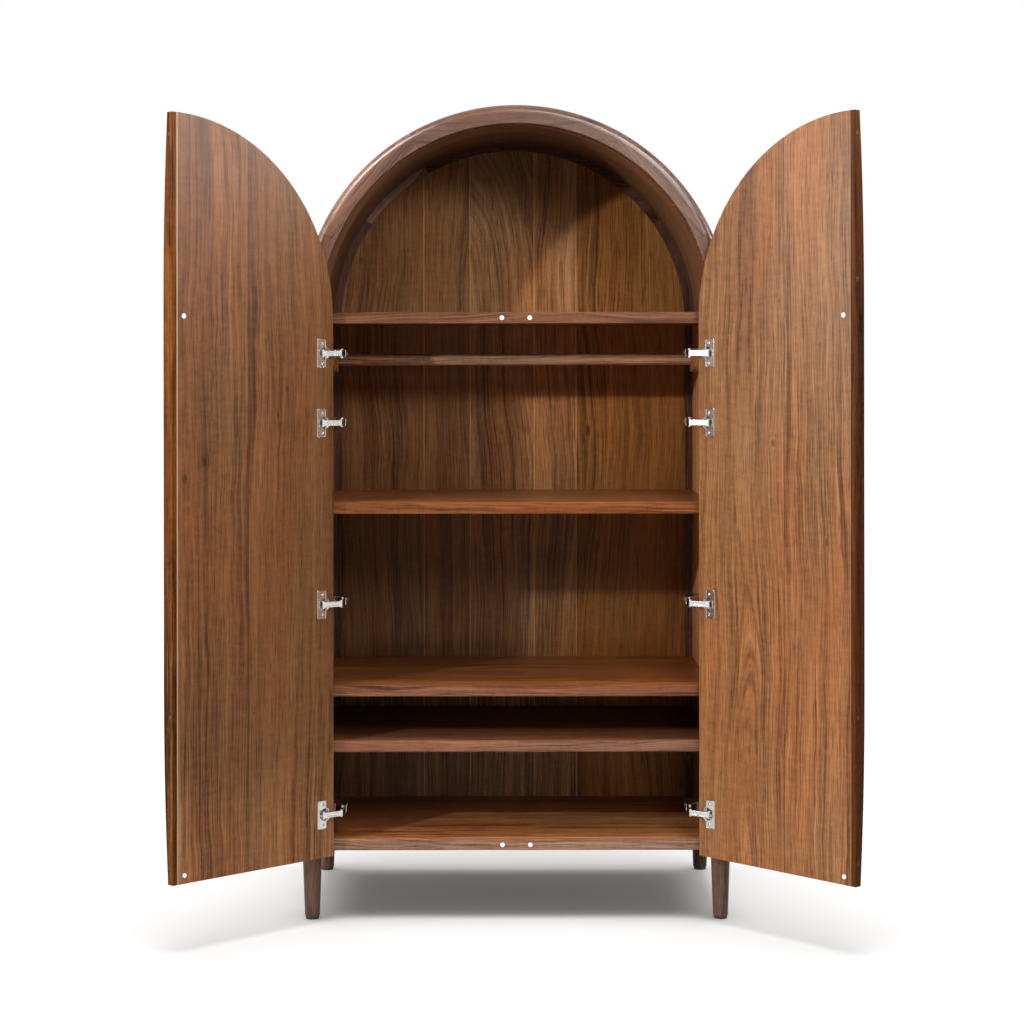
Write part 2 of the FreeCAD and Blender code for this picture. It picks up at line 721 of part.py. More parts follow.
arms = at_heights([arm])
plates = at_heights([plate])
arm_pins = at_heights([arm_pin_high, arm_pin_low])
wall_screws = at_heights(plate_screws)
save("hinge_arms", *arms, *side_shapes(arms, "right"))
save("hinge_plates", *plates, *side_shapes(plates, "right"))
save("arm_pins", *arm_pins, *side_shapes(arm_pins, "right"))
save("plate_screws", *wall_screws, *side_shapes(wall_screws, "right"))

# Side linings and rails with the holes for screws and shelf pins
lining_cutters_left = wall_screws + shelf_pins
lining_cutters_right = side_shapes(wall_screws, "right") + shelf_pins
side_lining_left = mirrored(side_lining).cut(lining_cutters_left)
side_lining_right = side_lining.cut(lining_cutters_right)
battens_left = [mirrored(piece).cut(wall_screws) for piece in battens]
battens_right = [mirrored(piece) for piece in battens_left]

save("rim_top", rim_top)
save("rim_shoulder_left", mirrored(rim_shoulder))
save("rim_shoulder_right", rim_shoulder)
save("rim_haunches", mirrored(rim_haunch), rim_haunch)
save("rim_post_left", rim_post_left)
save("rim_post_right", rim_post_right)
save("arch_skin", arch_skin)
save("arch_lining", arch_lining)
save("side_skin_left", mirrored(side_skin))
save("side_skin_right", side_skin)
save("side_lining_left", side_lining_left)
save("side_lining_right", side_lining_right)
save("rear_core", core_arch, core_left, core_right)
save("side_battens", *battens_left, *battens_right)
save("cleat_top", cleat_top)
save("cleat_shoulder_left", cleat_shoulder_left)
save("cleat_shoulder_right", cleat_shoulder_right)
save("cleat_post_left", cleat_post_left)
save("cleat_post_right", cleat_post_right)
save("back_panel", back_panel)
save("back_screws", *back_screws)
save("bottom_panel", bottom_panel)
save("top_shelf", top_shelf)
save("shelf_lower", loose_boards[0])
save("shelf_middle", loose_boards[1])
save("shelf_upper", loose_boards[2])
save("shelf_pins", *shelf_pins)
save("hanging_rod", hanging_rod)
save("rod_sockets", rod_socket, mirrored(rod_socket))
for name, place in leg_places.items():
    save("leg_" + name, turned(leg_blank, axis_z, 0, place))
save("leg_bolts", *leg_bolts)
save("leg_glides", *glides)
save("catch_magnets", *catch_magnets)
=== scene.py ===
import math

import bmesh
import bpy
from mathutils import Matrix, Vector


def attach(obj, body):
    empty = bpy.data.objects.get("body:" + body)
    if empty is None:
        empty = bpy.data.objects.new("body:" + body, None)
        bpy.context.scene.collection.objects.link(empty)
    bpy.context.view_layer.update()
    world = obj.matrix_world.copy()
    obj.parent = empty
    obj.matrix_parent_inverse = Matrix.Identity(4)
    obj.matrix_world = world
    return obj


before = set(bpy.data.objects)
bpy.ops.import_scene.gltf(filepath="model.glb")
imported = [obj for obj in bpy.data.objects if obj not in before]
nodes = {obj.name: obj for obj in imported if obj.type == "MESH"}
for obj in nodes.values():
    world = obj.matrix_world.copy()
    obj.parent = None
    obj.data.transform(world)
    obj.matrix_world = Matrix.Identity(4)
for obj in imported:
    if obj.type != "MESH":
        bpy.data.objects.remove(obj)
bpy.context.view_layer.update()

# Places and sizes of the object that the surfaces need, in metres and radians
HALF_DEPTH = 0.3275
ARCH_CENTRE_HEIGHT = 1.577
ARCH_RADIUS = 0.54
LEFT_OPEN = math.radians(137.5)
RIGHT_OPEN = math.radians(133.5)
RIM_UPPER_JOINT = math.radians(29.5)
RIM_LOWER_JOINT = math.radians(66.0)
QUARTER_TURN = math.pi / 2
CORNERS = ((1.0, 1.0), (-1.0, 1.0), (-1.0, -1.0), (1.0, -1.0))
WHITE = (1.0, 1.0, 1.0, 1.0)

# How far a seed moves the noise along each axis
SEED_SHIFT = (1.0, 0.37, 0.71)
BEVEL_SAMPLES = 3


# Nodes of one material or of the world
class Surface:
    def __init__(self, owner):
        owner.use_nodes = True
        self.owner = owner
        self.tree = owner.node_tree
        self.tree.nodes.clear()

    def add(self, kind, **settings):
        node = self.tree.nodes.new(kind)
        for key, value in settings.items():
            setattr(node, key, value)
        return node

    def feed(self, value, socket):
        if isinstance(value, bpy.types.NodeSocket):
            self.tree.links.new(value, socket)
        else:
            socket.default_value = value

    def wired(self, kind, *values, **settings):
        node = self.add(kind, **settings)
        for value, socket in zip(values, node.inputs):
            self.feed(value, socket)
        return node.outputs

    def math(self, operation, *values):
        return self.wired("ShaderNodeMath", *values, operation=operation)[0]

    def times(self, first, second):
        return self.math("MULTIPLY", first, second)

    # first * second + onto
    def times_add(self, first, second, onto):
        return self.math("MULTIPLY_ADD", first, second, onto)

    # Noise swings round 0.5, so this adds it evenly to both sides
    def vary(self, onto, noise, amount):
        return self.times_add(self.math("SUBTRACT", noise, 0.5), amount, onto)

    def gap(self, first, second):
        return self.math("ABSOLUTE", self.math("SUBTRACT", first, second))

    def squares(self, first, second):
        return self.math("ADD", self.times(first, first), self.times(second, second))

    def length(self, first, second):
        return self.math("SQRT", self.squares(first, second))

    def split(self, vector):
        return self.wired("ShaderNodeSeparateXYZ", vector)

    def combine(self, x, y, z):
        return self.wired("ShaderNodeCombineXYZ", x, y, z)[0]

    def place(self):
        return self.add("ShaderNodeTexCoord").outputs["Object"]

    def turned(self, vector, angles):
        node = self.add("ShaderNodeMapping", vector_type="POINT")
        self.feed(vector, node.inputs["Vector"])
        node.inputs["Rotation"].default_value = angles
        return node.outputs[0]

    def noise(self, vector, scale, seed, detail, roughness=0.5):
        shift = tuple(seed * part for part in SEED_SHIFT)
        moved = self.wired("ShaderNodeVectorMath", vector, scale, shift, operation="MULTIPLY_ADD")[0]
        node = self.add("ShaderNodeTexNoise")
        self.feed(moved, node.inputs["Vector"])
        node.inputs["Scale"].default_value = 1.0
        node.inputs["Detail"].default_value = detail
        node.inputs["Roughness"].default_value = roughness
        return node.outputs[0]

    # Smooth step from out_low at low to out_high at high
    def between(self, value, low, high, out_low=0.0, out_high=1.0):
        node = self.add("ShaderNodeMapRange", interpolation_type="SMOOTHSTEP")
        keys = ("Value", "From Min", "From Max", "To Min", "To Max")
        for key, number in zip(keys, (value, low, high, out_low, out_high)):
            self.feed(number, node.inputs[key])
        return node.outputs[0]

    def ramp(self, value, stops):
        node = self.add("ShaderNodeValToRGB")
        self.feed(value, node.inputs[0])
        points = node.color_ramp.elements
        while len(points) < len(stops):
            points.new(0.5)
        for point, (position, colour) in zip(points, stops):
            point.position = position
            point.color = (*colour, 1.0)
        return node.outputs[0]

    def mix(self, factor, first, second, blend="MIX"):
        node = self.add("ShaderNodeMix", data_type="RGBA", blend_type=blend)
        self.feed(factor, node.inputs[0])
        for value, socket in ((first, node.inputs[6]), (second, node.inputs[7])):
            self.feed((*value, 1.0) if isinstance(value, tuple) else value, socket)
        return node.outputs[2]

    def tinted(self, colour, tint):
        return self.mix(1.0, colour, tint, "MULTIPLY")

    def stained(self, colour, mask, amount, stain):
        return self.mix(self.times(mask, amount), colour, stain)

    def chosen(self, factor, first, second):
        node = self.add("ShaderNodeMix", data_type="FLOAT")
        for value, socket in zip((factor, first, second), (node.inputs[0], *node.inputs[2:4])):
            self.feed(value, socket)
        return node.outputs[0]

    def flat_normal(self):
        return self.add("ShaderNodeNewGeometry").outputs["Normal"]

    def soft_normal(self, radius):
        node = self.add("ShaderNodeBevel", samples=BEVEL_SAMPLES)
        node.inputs["Radius"].default_value = radius
        return node.outputs[0]

    def seen_directly(self):
        rays = self.add("ShaderNodeLightPath").outputs
        seen = self.math("MAXIMUM", rays["Is Camera Ray"], rays["Is Glossy Ray"])
        return self.math("MAXIMUM", seen, rays["Is Transmission Ray"])

    def finish(self, colour, roughness, height, bump, distance, normal=None, **constants):
        relief = self.add("ShaderNodeBump")
        relief.inputs["Strength"].default_value = bump
        relief.inputs["Distance"].default_value = distance
        self.feed(height, relief.inputs["Height"])
        if normal is not None:
            self.feed(normal, relief.inputs["Normal"])
        shader = self.add("ShaderNodeBsdfPrincipled")
        for key, value in constants.items():
            shader.inputs[key.replace("_", " ")].default_value = value
        self.feed(colour, shader.inputs["Base Color"])
        self.feed(roughness, shader.inputs["Roughness"])
        self.feed(relief.outputs[0], shader.inputs["Normal"])
        self.wired("ShaderNodeOutputMaterial", shader.outputs[0])
        return self.owner


def surface(name):
    return Surface(bpy.data.materials.new(name))


# Grain: each gives a place in the wood as (across, depth, along) in metres
def grain_along_z(wood):
    return wood.place()


def grain_along_x(wood):
    return wood.turned(wood.place(), (0.0, QUARTER_TURN, 0.0))


# The grain of a rim piece follows the chord of its arc, whose middle is at this angle from the top
def grain_along_chord(angle):
    def grain(wood):
        x, y, z = wood.split(wood.place())
        return wood.turned(wood.combine(wood.math("ABSOLUTE", x), y, z), (0.0, QUARTER_TURN - angle, 0.0))

    return grain


def grain_along_arch(wood):
    x, y, z = wood.split(wood.place())
    up = wood.math("SUBTRACT", z, ARCH_CENTRE_HEIGHT)
    angle = wood.math("ARCTAN2", x, up)
    return wood.combine(y, wood.length(x, up), wood.times(angle, ARCH_RADIUS))


# The grain of an open door, with across from one upright edge, and the width of the door
def grain_on_door(name, turn):
    points = [vertex.co for vertex in nodes[name].data.vertices]
    side = 1.0 if name.endswith("left") else -1.0
    reach = [side * (point.x * math.cos(turn) - point.y * math.sin(turn)) for point in points]
    edge = min(reach)

    def grain(wood):
        x, y, z = wood.split(wood.turned(wood.place(), (0.0, 0.0, turn)))
        return wood.combine(wood.times_add(x, side, -edge), y, z)

    return grain, max(reach) - edge


# Layers of the wood: noise scale across and along the grain, seed, detail, roughness
LAYERS = {
    "sway": (2.0, 1.2, 1.3, 1.0, 0.5),
    "ripple": (9.0, 4.6, 2.9, 2.0, 0.5),
    "band": (13.0, 0.5, 4.1, 2.0, 0.55),
    "dark": (26.0, 0.6, 5.9, 2.0, 0.6),
    "streak": (62.0, 1.0, 7.7, 3.0, 0.65),
    "fine": (210.0, 2.4, 9.2, 3.0, 0.8),
    "fibre": (800.0, 9.0, 12.9, 2.0, 0.6),
    "pore": (430.0, 15.0, 15.4, 1.0, 0.5),
    "ring": (17.0, 0.3, 21.0, 1.0, 0.5),
    "cross": (34.0, 84.0, 25.0, 3.0, 0.65),
    "patch": (5.0, 1.8, 27.0, 1.0, 0.5),
    "flame_glint": (40.0, 7.0, 29.0, 2.0, 0.5),
    "hue": (6.0, 1.1, 30.0, 1.0, 0.5),
}

# How far the grain sways and ripples sideways
SWAY = 0.11
RIPPLE = 0.026

# A knot is (across, height, size, push), and is longer along the grain than across
KNOT_STRETCH = 1.8
KNOT_DARK = (0.35, 0.95)

# Where each layer starts to show and where it shows in full
PORE_RANGE = (0.57, 0.7)
DARK_RANGE = (0.56, 0.68)
FLAME_GLINT_RANGE = (0.56, 0.76)
HUE_RANGE = (0.35, 0.7)
RINGS_PER_NOISE = 17.0
RING_RISE = (0.3, 0.88)
RING_FALL = (0.9, 0.99)
PATCH_RANGE = (0.32, 0.68)
PATCH_STRENGTH = (0.55, 1.25)

# The tone of the wood: its middle, and what each layer adds to it
TONE_MIDDLE = 0.54
ADDS = {
    "band": 0.8, "dark": -0.15, "streak": 1.05, "fine": 1.3, "fibre": 0.6, "ring": -0.14,
    "cross": 0.4, "flame_glint": 0.09, "knot": -0.2,
}

# Shares of the base colour at each tone, and in pores, seams, warm patches, and worn edges with their painted
# highlight
TONES = (
    (0.0, (0.12, 0.12, 0.14)),
    (0.25, (0.44, 0.41, 0.4)),
    (0.5, (1.0, 0.98, 0.94)),
    (0.75, (1.45, 1.56, 1.65)),
    (1.0, (1.85, 2.15, 2.5)),
)
PORE_SHARE = (0.2, 0.17, 0.15)
PORE_AMOUNT = 0.5
SEAM_SHARE = (0.16, 0.13, 0.12)
SEAM_AMOUNT = 0.8
WARM_SHARE = (1.12, 0.95, 0.84)
WORN_HIGHLIT_SHARE = (1.75, 2.1, 2.6)
BELOW_COLOUR = (0.05, 0.046, 0.042)

# What the redness of a leaf adds to its green and blue
RED_TO_GREEN = -0.12
RED_TO_BLUE = -0.4

# Leaves: length of the arched figure, distance between their figures, half widths and depth of their joints
FIGURE_LENGTH = 0.9
LEAF_SPACING = 3.7
LEAF_JOINT = (0.0005, 0.0021)
LEAF_JOINT_AMOUNT = 0.65
LIP_BLEND = 0.0012
RIM_JOINT_WIDTH = 0.0035

# Faces: how far the normal leans where the underside gets a painted shade, and where the front edges get their
# edge band's tone with a painted sheen
BELOW_RANGE = (-0.9, -0.6)
BELOW_AMOUNT = 0.9
FRONT_RANGE = (-0.8, -0.3)

# Worn edges, painted paler also as a highlight where the eased edges catch light: their radius and how like
# the face's own normal the rounded one is
EDGE_RADIUS = 0.0011
EDGE_RANGE = (0.78, 0.985)

# What streaks and pores add to the roughness, and the relief of the wood
STREAK_SHEEN = 0.1
PORE_SHEEN = 0.1
PORE_RELIEF = -0.6
FINE_RELIEF = 0.3
FIBRE_RELIEF = 0.35
WOOD_RELIEF = 0.0002


def shared(colour, shares):
    return tuple(part * share for part, share in zip(colour, shares))


# A leaf is a strip of veneer or board from its start across the grain to the start of the next one.
# With a slope, its figure arches over from this centre and height.
def leaf(start=None, centre=0.0, height=0.0, opening=0.0, slope=0.0, gain=1.0, redness=0.0):
    return start, centre, height, opening, slope, gain, redness


# Walnut with its own grain, base colour, seed, leaves and knots
class Wood(Surface):
    def __init__(self, name, grain, base, seed, leaves, knots):
        super().__init__(bpy.data.materials.new(name))
        self.base = base
        self.seed = seed
        self.at = grain(self)
        self.across, self.depth, self.along = self.split(self.at)
        bent, self.gloom = self.bend(knots)
        field, self.gain, self.red, self.joint = self.lay(bent, leaves)
        self.figured = self.combine(field, self.depth, self.along)
        self.streak = self.layer("streak", self.figured)
        self.fine = self.layer("fine", self.figured)
        self.fibre = self.layer("fibre", self.at)
        self.pores = self.between(self.layer("pore", self.at), *PORE_RANGE)

    def layer(self, kind, at):
        across, along, shift, detail, roughness = LAYERS[kind]
        return self.noise(at, (across, across, along), self.seed + shift, detail, roughness)

    # Grain that sways, and bends round the knots, and the dark of the knots
    def bend(self, knots):
        bent = self.vary(self.across, self.layer("sway", self.at), SWAY)
        bent = self.vary(bent, self.layer("ripple", self.at), RIPPLE)
        gloom = 0.0
        for across, height, size, push in knots:
            aside = self.math("DIVIDE", self.math("SUBTRACT", self.across, across), size)
            above = self.math("DIVIDE", self.math("SUBTRACT", self.along, height), KNOT_STRETCH * size)
            near = self.math("EXPONENT", self.times(self.squares(aside, above), -1.0))
            bent = self.times_add(self.times(near, aside), -push * size, bent)
            gloom = self.math("ADD", gloom, self.between(near, *KNOT_DARK))
        return bent, gloom

    # Place in the figure, gain and redness of the leaf at each point, and the joints of the leaves
    def lay(self, bent, leaves):
        joint = 0.0
        for index, (start, centre, height, opening, slope, own_gain, own_red) in enumerate(leaves):
            own = self.math("SUBTRACT", bent, centre)
            if slope != 0.0:
                top, widest = height + FIGURE_LENGTH, opening + FIGURE_LENGTH * slope
                own = self.length(own, self.between(self.along, height, top, opening, widest))
            own = self.math("ADD", own, LEAF_SPACING * index)
            if index == 0:
                field, gain, red = own, own_gain, own_red
                continue
            here = self.math("GREATER_THAN", self.across, start)
            field = self.chosen(here, field, own)
            gain = self.chosen(here, gain, own_gain)
            red = self.chosen(here, red, own_red)
            line = self.between(self.gap(self.across, start), *LEAF_JOINT, 1.0, 0.0)
            joint = self.math("ADD", joint, line)
        return field, gain, red, joint

    # Late wood: a dark line that rises slowly and ends sharply in each growth ring
    def late_wood(self):
        phase = self.math("FRACT", self.times(self.layer("ring", self.figured), RINGS_PER_NOISE))
        return self.times(self.between(phase, *RING_RISE), self.between(phase, *RING_FALL, 1.0, 0.0))

    # Streaks, fine lines and late wood, stronger in some patches than in others
    def striped(self, tone, contrast, lines):
        weakest, strongest = (strength * contrast for strength in PATCH_STRENGTH)
        strength = self.between(self.layer("patch", self.at), *PATCH_RANGE, weakest, strongest)
        stripes = self.times(self.math("SUBTRACT", self.fine, 0.5), ADDS["fine"])
        stripes = self.vary(stripes, self.streak, ADDS["streak"])
        stripes = self.times_add(self.late_wood(), ADDS["ring"] * lines, stripes)
        return self.times_add(stripes, strength, tone)

    # Tone from 0, darkest, to 1, lightest
    def toned(self, contrast, lines, figure):
        tone = self.vary(TONE_MIDDLE, self.layer("band", self.figured), ADDS["band"] * contrast)
        tone = self.striped(tone, contrast, lines)
        tone = self.vary(tone, self.fibre, ADDS["fibre"])
        dark = self.between(self.layer("dark", self.figured), *DARK_RANGE)
        tone = self.times_add(dark, ADDS["dark"] * contrast, tone)
        tone = self.vary(tone, self.layer("cross", self.at), ADDS["cross"] * figure)
        # Light flecks of flame figure, painted as glints where the figure catches the light
        flame_glint = self.between(self.layer("flame_glint", self.figured), *FLAME_GLINT_RANGE)
        tone = self.times_add(flame_glint, ADDS["flame_glint"] * figure, tone)
        return self.times_add(self.gloom, ADDS["knot"], tone)

    def coloured(self, tone):
        colour = self.ramp(tone, [(position, shared(self.base, shares)) for position, shares in TONES])
        warm = self.between(self.layer("hue", self.at), *HUE_RANGE)
        return self.mix(warm, colour, self.tinted(colour, WARM_SHARE))

    # Own tone of each leaf, and the joints between them
    def leafed(self, colour, joint_tone):
        green = self.times(self.gain, self.times_add(self.red, RED_TO_GREEN, 1.0))
        blue = self.times(self.gain, self.times_add(self.red, RED_TO_BLUE, 1.0))
        colour = self.tinted(colour, self.combine(self.gain, green, blue))
        return self.stained(colour, self.joint, LEAF_JOINT_AMOUNT, joint_tone)

    # Painted light and shade: the colour grows lighter or darker along the grain, for light that falls
    # unevenly with height
    def drifted(self, colour, drift):
        gain = self.between(self.along, *drift)
        return self.tinted(colour, self.combine(gain, gain, gain))

    # Dark line of a joint of the arched rim, at this angle from the top on both sides
    def seamed(self, colour, angle):
        x, _, z = self.split(self.place())
        turn = self.math("ARCTAN2", self.math("ABSOLUTE", x), self.math("SUBTRACT", z, ARCH_CENTRE_HEIGHT))
        line = self.between(self.gap(turn, angle), 0.0, RIM_JOINT_WIDTH, 1.0, 0.0)
        return self.stained(colour, line, SEAM_AMOUNT, shared(self.base, SEAM_SHARE))

    # Painted shade: the underside is made dark and grey, so that less warm light bounces from it into the
    # floor's shadow below
    def darkened_below(self, colour):
        _, _, upward = self.split(self.flat_normal())
        return self.mix(self.between(upward, *BELOW_RANGE, BELOW_AMOUNT, 0.0), colour, BELOW_COLOUR)

    # Front edges: the tone of their edge band, with a painted sheen that greys them
    def front_toned(self, colour, tone):
        _, backward, _ = self.split(self.flat_normal())
        front = self.between(backward, *FRONT_RANGE, 1.0, 0.0)
        return self.mix(front, colour, self.tinted(colour, tone))

    # Lighter wood where the rounded normal differs from the face's own: partly wear, partly a painted
    # highlight of the eased edges catching light
    def worn_and_highlit(self, colour, rounded, amount):
        pair = (rounded, self.flat_normal())
        likeness = self.wired("ShaderNodeVectorMath", *pair, operation="DOT_PRODUCT")["Value"]
        bare_and_highlit = tuple(min(1.0, part) for part in shared(self.base, WORN_HIGHLIT_SHARE))
        return self.stained(colour, self.between(likeness, *EDGE_RANGE, 1.0, 0.0), amount, bare_and_highlit)

    def relief(self):
        height = self.times_add(self.fine, FINE_RELIEF, self.times(self.fibre, FIBRE_RELIEF))
        return self.times_add(self.pores, PORE_RELIEF, height)


# Walnut: contrast, lines and figure are the strengths of its bands, growth rings, and cross figure with its
# painted glints, and level is the shine. drift is painted light and shade as (low, high, gain at low, gain at
# high) along the grain, seams are the angles of joints in the arched rim, and lip is (start across, colour,
# amount) of a strip along an edge, its lipping's own tone with a painted highlight.
def walnut(name, grain, base, seed, contrast=1.0, lines=1.0, figure=1.0, leaves=(leaf(),), knots=(),
           joint_tone=(0.05, 0.022, 0.01), drift=None, seams=(), lip=None, dark_below=False, front_tone=None,
           edge_wear_and_highlight=0.45, roughness=0.34, level=0.14, bump=0.25):
    wood = Wood(name, grain, base, seed, leaves, knots)
    colour = wood.coloured(wood.toned(contrast, lines, figure))
    if len(leaves) > 1:
        colour = wood.leafed(colour, joint_tone)
    if drift is not None:
        colour = wood.drifted(colour, drift)
    colour = wood.stained(colour, wood.pores, PORE_AMOUNT, shared(base, PORE_SHARE))
    for angle in seams:
        colour = wood.seamed(colour, angle)
    # A paler strip along an edge: the tone of its lipping, with a painted highlight where the edge catches
    # light
    if lip is not None:
        start, tone, amount = lip
        colour = wood.mix(wood.between(wood.across, start, start + LIP_BLEND, 0.0, amount), colour, tone)
    if dark_below:
        colour = wood.darkened_below(colour)
    if front_tone is not None:
        colour = wood.front_toned(colour, front_tone)
    # Paler edges: wear, with a painted highlight of the edges catching light
    normal = None
    if edge_wear_and_highlight > 0.0:
        normal = wood.soft_normal(EDGE_RADIUS)
        colour = wood.worn_and_highlit(colour, normal, edge_wear_and_highlight)
    rough = wood.times_add(wood.pores, PORE_SHEEN, wood.vary(roughness, wood.streak, STREAK_SHEEN))
    return wood.finish(colour, rough, wood.relief(), bump, WOOD_RELIEF, normal, Specular_IOR_Level=level)


# Metal: noise scales of its wear and scratches, what they add to the roughness, and the tone of worn places
WEAR_SCALE = (60.0, 60.0, 60.0)
SCRATCH_SCALE = (900.0, 900.0, 60.0)
SCRATCH_SEED = 3.0
WEAR_SHEEN = 0.12
SCRATCH_SHEEN = 0.15
WEAR_RANGE = (0.4, 0.75)
WEAR_SHARE = (0.8, 0.8, 0.8)
METAL_EDGE = 0.0012
METAL_BUMP = 0.15
METAL_RELIEF = 0.00005

# Plastic: noise scales of its grain and dust, what the dust adds to roughness and colour
GRAIN_SCALE = (1800.0, 1800.0, 1800.0)
DUST_SCALE = (25.0, 25.0, 25.0)
DUST_SEED = 5.0
DUST_RANGE = (0.45, 0.8)
DUST_TONE = 0.02
DUST_SHEEN = 0.2
PLASTIC_ROUGHNESS = 0.4
PLASTIC_BUMP = 0.3
PLASTIC_RELIEF = 0.0001


def metal(name, colour, roughness, seed, metallic=1.0):
    coat = surface(name)
    place = coat.place()
    worn_and_highlit = coat.noise(place, WEAR_SCALE, seed, 3.0)
    scratches = coat.noise(place, SCRATCH_SCALE, seed + SCRATCH_SEED, 2.0)
    rough = coat.vary(coat.times_add(worn_and_highlit, WEAR_SHEEN, roughness), scratches, SCRATCH_SHEEN)
    tint = coat.mix(coat.between(worn_and_highlit, *WEAR_RANGE), colour, shared(colour, WEAR_SHARE))
    normal = coat.soft_normal(METAL_EDGE)
    return coat.finish(tint, rough, scratches, METAL_BUMP, METAL_RELIEF, normal, Metallic=metallic)


def plastic(name, colour, seed):
    coat = surface(name)
    place = coat.place()
    grains = coat.noise(place, GRAIN_SCALE, seed, 2.0)
    dust = coat.noise(place, DUST_SCALE, seed + DUST_SEED, 3.0)
    tint = coat.mix(coat.between(dust, *DUST_RANGE), colour, tuple(part + DUST_TONE for part in colour))
    rough = coat.times_add(dust, DUST_SHEEN, PLASTIC_ROUGHNESS)
    return coat.finish(tint, rough, grains, PLASTIC_BUMP, PLASTIC_RELIEF)


def dress(material, *names):
    for name in names:
        slots = nodes[name].material_slots
        if not slots:
            nodes[name].data.materials.append(material)
        for slot in slots:
            slot.material = material


# Walnut pieces: pieces, material, grain, base colour, seed and looks
def wooden(pieces, name, grain, base, seed, **looks):
    dress(walnut(name, grain, base, seed, **looks), *pieces)


left_grain, left_width = grain_on_door("door_panel_left", LEFT_OPEN)
right_grain, right_width = grain_on_door("door_panel_right", -RIGHT_OPEN)
shoulder_grain = grain_along_chord((RIM_UPPER_JOINT + RIM_LOWER_JOINT) / 2)
haunch_grain = grain_along_chord((RIM_LOWER_JOINT + QUARTER_TURN) / 2)

RIM_COLOUR = (0.1, 0.044, 0.025)
CLEAT_COLOUR = (0.09, 0.04, 0.026)
DOOR_LOOKS = {"lines": 0.7, "figure": 0.8}
PULL_LOOKS = {"contrast": 1.1, "roughness": 0.3, "level": 0.03}
BOARD_LOOKS = {"contrast": 0.9, "roughness": 0.3, "level": 0.12, "figure": 0.6}
RIM_LOOKS = {
    "contrast": 0.8, "roughness": 0.25, "level": 0.5, "lines": 0.8, "edge_wear_and_highlight": 0.0, "figure": 0.5,
    "bump": 0.07, "seams": (RIM_UPPER_JOINT, RIM_LOWER_JOINT),
}

# Left door: painted light, lighter towards the bottom
wooden(
    ["door_panel_left"], "door_left", left_grain, (0.153, 0.067, 0.025), 2.0, level=0.15, contrast=0.82,
    leaves=(leaf(gain=0.95), leaf(0.275, centre=0.60, height=0.9, opening=0.08, slope=0.02, gain=1.06)),
    knots=(
        (0.15, 1.40, 0.007, 1.6), (0.18, 1.33, 0.006, 1.5), (0.41, 1.22, 0.008, 1.6), (0.47, 1.18, 0.01, 1.5),
    ),
    lip=(left_width - 0.0045, (0.6, 0.4, 0.27), 0.6), drift=(0.2, 0.5, 1.45, 1.0), **DOOR_LOOKS,
)
wooden(
    ["door_panel_right"], "door_right", right_grain, (0.22, 0.098, 0.0385), 5.0, level=0.16, contrast=0.74,
    leaves=(leaf(centre=0.165, height=0.05, opening=0.004, slope=0.06, redness=0.1), leaf(0.285, gain=1.02)),
    knots=((0.27, 1.62, 0.005, 1.5), (0.25, 1.26, 0.009, 1.8), (0.42, 1.02, 0.008, 1.5)),
    lip=(right_width - 0.004, (0.3, 0.18, 0.12), 0.3), **DOOR_LOOKS,
)
wooden(["door_pull_left"], "pull_left", left_grain, (0.105, 0.037, 0.008), 8.0, **PULL_LOOKS)
wooden(["door_pull_right"], "pull_right", right_grain, (0.065, 0.0215, 0.0045), 9.0, **PULL_LOOKS)
wooden(["door_plugs_left", "door_plugs_right"], "plug_wood", grain_along_z, (0.09, 0.035, 0.014), 3.0)
# Back panel: painted light and shade, darker towards the bottom and lighter towards the top
wooden(
    ["back_panel"], "back_leaves", grain_along_z, (0.255, 0.125, 0.052), 11.0,
    leaves=(
        leaf(gain=0.73, redness=-0.1),
        leaf(-0.2567, gain=0.84),
        leaf(-0.124, centre=-0.25, height=1.42, slope=0.36, gain=1.08, redness=-0.2),
        leaf(0.0607, gain=1.05, redness=0.1),
        leaf(0.1819, gain=0.95, redness=1.1),
    ),
    knots=((0.212, 1.266, 0.013, 1.6), (-0.035, 1.258, 0.006, 1.2), (-0.437, 1.757, 0.009, 0.8)),
    drift=(0.55, 1.75, 0.62, 1.17), joint_tone=(0.6, 0.3, 0.11), contrast=0.72, level=0.05,
    figure=0.6, lines=0.8,
)
wooden(["rim_top"], "rim_crown", grain_along_x, (0.085, 0.037, 0.019), 14.0, **RIM_LOOKS)
wooden(["rim_shoulder_left"], "rim_shoulder_l", shoulder_grain, (0.14, 0.062, 0.034), 16.0, **RIM_LOOKS)
wooden(["rim_shoulder_right"], "rim_shoulder_r", shoulder_grain, RIM_COLOUR, 19.0, **RIM_LOOKS)
wooden(["rim_haunches"], "rim_haunch", haunch_grain, RIM_COLOUR, 23.0, **RIM_LOOKS)
wooden(["rim_post_left"], "rim_post_l", grain_along_z, RIM_COLOUR, 25.0, **RIM_LOOKS)
wooden(["rim_post_right"], "rim_post_r", grain_along_z, RIM_COLOUR, 27.0, **RIM_LOOKS)
wooden(["arch_skin"], "arch_outside", grain_along_arch, (0.155, 0.062, 0.027), 31.0, contrast=0.9)
wooden(["arch_lining"], "arch_inside", grain_along_arch, (0.2, 0.095, 0.048), 33.0, level=0.08)
wooden(
    ["side_skin_left", "side_skin_right"], "side_outside", grain_along_z, (0.2, 0.083, 0.036), 35.0,
    contrast=0.85,
)
# Painted light: the side linings get a much paler walnut than the rest, for the light that falls on them, and
# grow lighter towards the top
wooden(
    ["side_lining_left", "side_lining_right"], "side_inside", grain_along_z, (0.45, 0.215, 0.1), 37.0,
    contrast=0.6, figure=0.6, drift=(0.45, 0.8, 0.65, 1.3),
)
